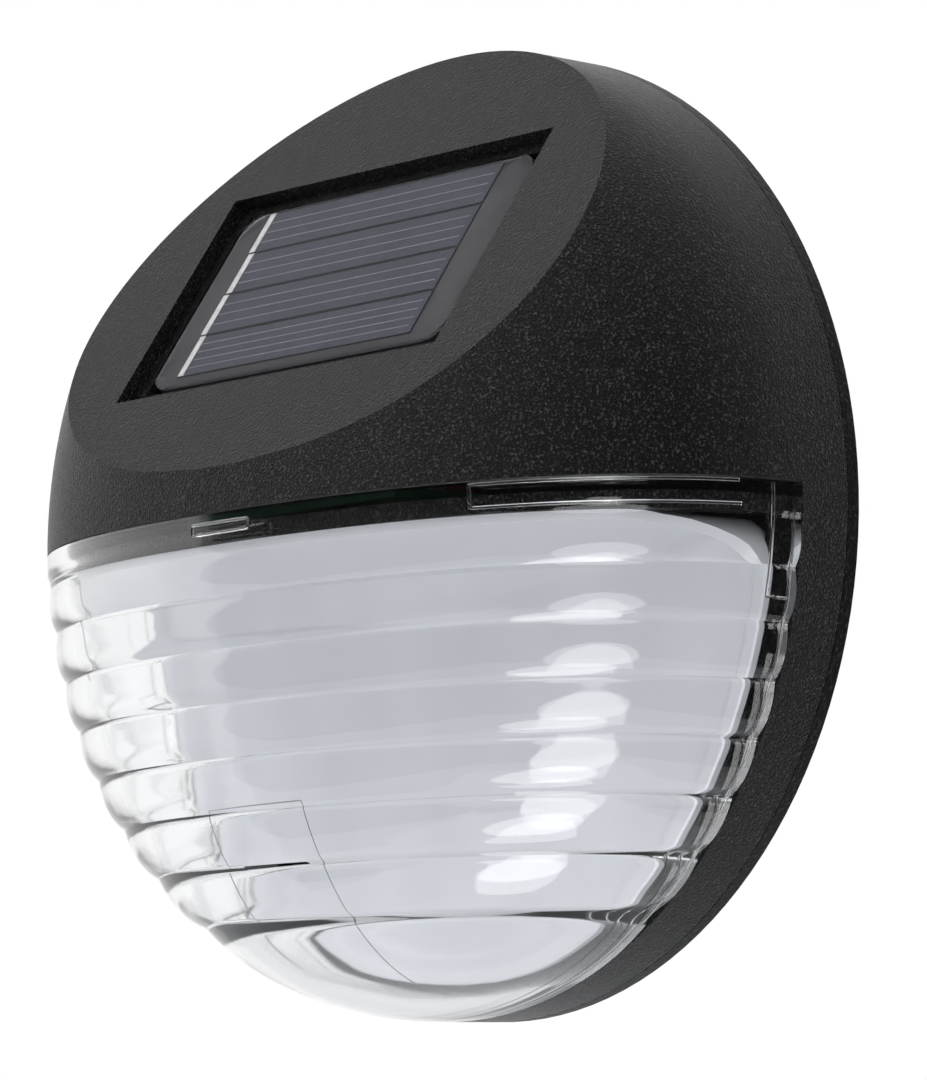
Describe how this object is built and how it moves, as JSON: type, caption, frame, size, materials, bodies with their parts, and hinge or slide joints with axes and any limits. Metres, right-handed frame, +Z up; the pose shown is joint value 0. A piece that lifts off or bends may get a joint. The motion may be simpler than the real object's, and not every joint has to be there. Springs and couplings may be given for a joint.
{
  "type": "solar fence light",
  "caption": "Round wall-hung solar fence light: black dome with a tilted solar window above a clear ribbed lens over a white reflector.",
  "frame": {"origin": "centre of the flat rear face that lies on the wall", "axes": "+Y into the wall, -Y out of it towards the viewer, +Z up, +X to the viewer's right"},
  "size_m": [0.1146, 0.0448, 0.1146],
  "materials": {
    "black_plastic": "fine textured ABS",
    "clear_plastic": "clear polished, ribbed",
    "white_plastic": "satin white",
    "panel_black": "dark board",
    "silicon": "dark blue-grey silicon",
    "bus_metal": "bright printed metal",
    "clear_resin": "clear cast resin",
    "foam": "closed-cell foam tape",
    "board_green": "solder mask",
    "led_white": "white package",
    "chip_black": "moulded",
    "ferrite": "ferrite and enamel",
    "can_metal": "sleeved can",
    "screw_steel": "zinc plated",
    "rear_plastic": "fine textured ABS",
    "seal_rubber": "silicone",
    "cell_sleeve": "plain sleeve",
    "contact_metal": "nickel plated",
    "switch_metal": "folded steel",
    "knob_black": "moulded",
    "wire_black": "insulated wire",
    "wire_red": "insulated wire"
  },
  "bodies": {
    "housing": {"front_cover": "black_plastic", "lens": "clear_plastic", "reflector": "white_plastic", "panel_board": "panel_black", "solar_cell_strips": "silicon", "panel_busbars": "bus_metal", "panel_resin": "clear_resin", "panel_tape": "foam", "circuit_board": "board_green", "led_left": "led_white", "led_right": "led_white", "control_chip": "chip_black", "inductor": "ferrite", "capacitor": "can_metal", "board_screws": "screw_steel", "rear_plate": "rear_plastic", "seal_ring": "seal_rubber", "rear_screws": "screw_steel", "spring_contact": "contact_metal", "plate_contact": "contact_metal", "switch_case": "switch_metal", "panel_wire_black": "wire_black", "battery_wire_black": "wire_black", "switch_wire_black": "wire_black", "panel_wire_red": "wire_red", "battery_wire_red": "wire_red", "switch_wire_red": "wire_red"},
    "door": {"battery_door": "rear_plastic"},
    "cell": {"battery": "cell_sleeve"},
    "knob": {"switch_knob": "knob_black"}
  },
  "joints": [
    {"name": "door_lift_off", "type": "slide", "parent": "housing", "child": "door", "axis": [0, 1, 0], "range_m": [0, 0.06]},
    {"name": "cell_lift_out", "type": "slide", "parent": "housing", "child": "cell", "axis": [0, 1, 0], "range_m": [0, 0.03]},
    {"name": "switch_slide", "type": "slide", "parent": "housing", "child": "knob", "axis": [1, 0, 0], "range_m": [0, 0.002]}
  ],
  "couplings": [
    {"joint": "cell_lift_out", "follows": "door_lift_off", "ratio": 0.5}
  ]
}
